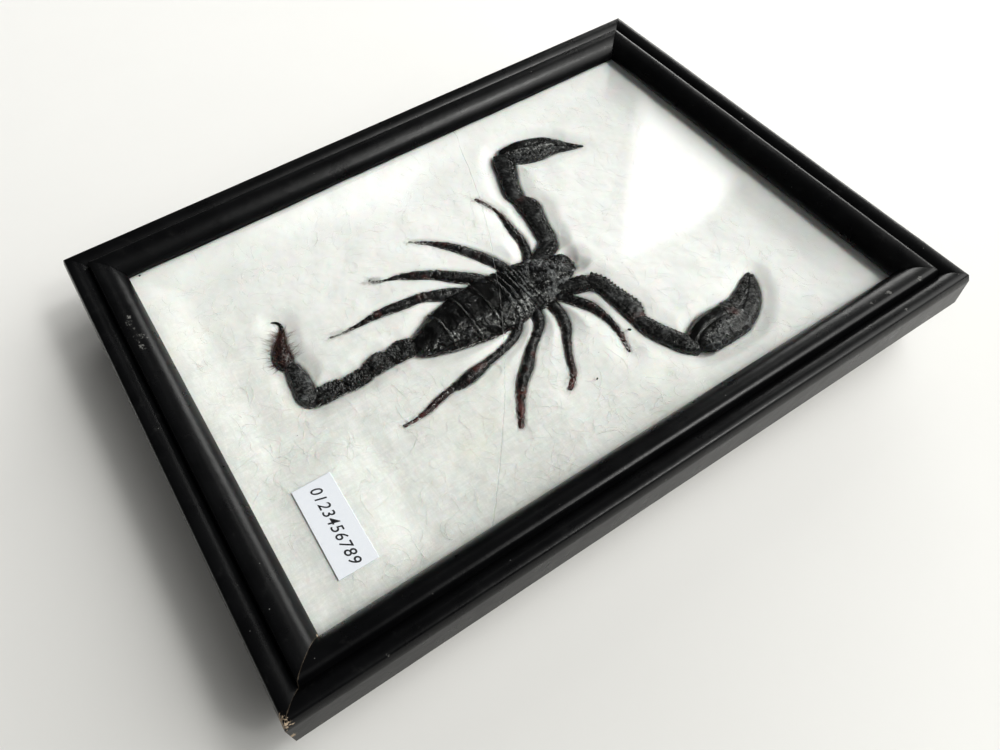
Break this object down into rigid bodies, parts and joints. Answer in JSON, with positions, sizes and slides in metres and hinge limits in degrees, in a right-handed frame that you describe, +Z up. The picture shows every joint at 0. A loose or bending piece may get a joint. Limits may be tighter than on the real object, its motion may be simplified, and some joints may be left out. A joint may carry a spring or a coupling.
{
  "type": "mounted scorpion in framed box",
  "caption": "Dried black scorpion on a bed of cotton wool with a small printed card, in a shallow wooden box with a black mitred frame and a cracked glass pane.",
  "frame": {"origin": "middle of the box's underside", "axes": "+X along the box's long side, from the tail towards the claws; +Y along its short side, from the front rail, beside the label, to the back rail; +Z up through the glass"},
  "size_m": [0.2032, 0.152, 0.0273],
  "materials": {
    "frame_paint": "satin black paint on wood, with small chips and scuffs at the mitres",
    "box_wood": "dark stained, matt",
    "backing": "plain grey-brown board, matt",
    "pane_glass": "clear, thin, cracked once from edge to edge",
    "cotton": "off-white cotton wool, fibrous, with faint yellow tints",
    "label_card": "white paper with plain printed digits",
    "scorpion_shell": "black shell, glossy on the back plates and granular on the tail, claws and front shield"
  },
  "bodies": {
    "root": {"rail_front": "frame_paint", "rail_back": "frame_paint", "rail_left": "frame_paint", "rail_right": "frame_paint", "box_side_front": "box_wood", "box_side_back": "box_wood", "box_side_left": "box_wood", "box_side_right": "box_wood", "backing_board": "backing", "glass_left": "pane_glass", "glass_right": "pane_glass", "cotton_bed": "cotton", "label": "label_card", "scorpion": "scorpion_shell"}
  },
  "joints": []
}
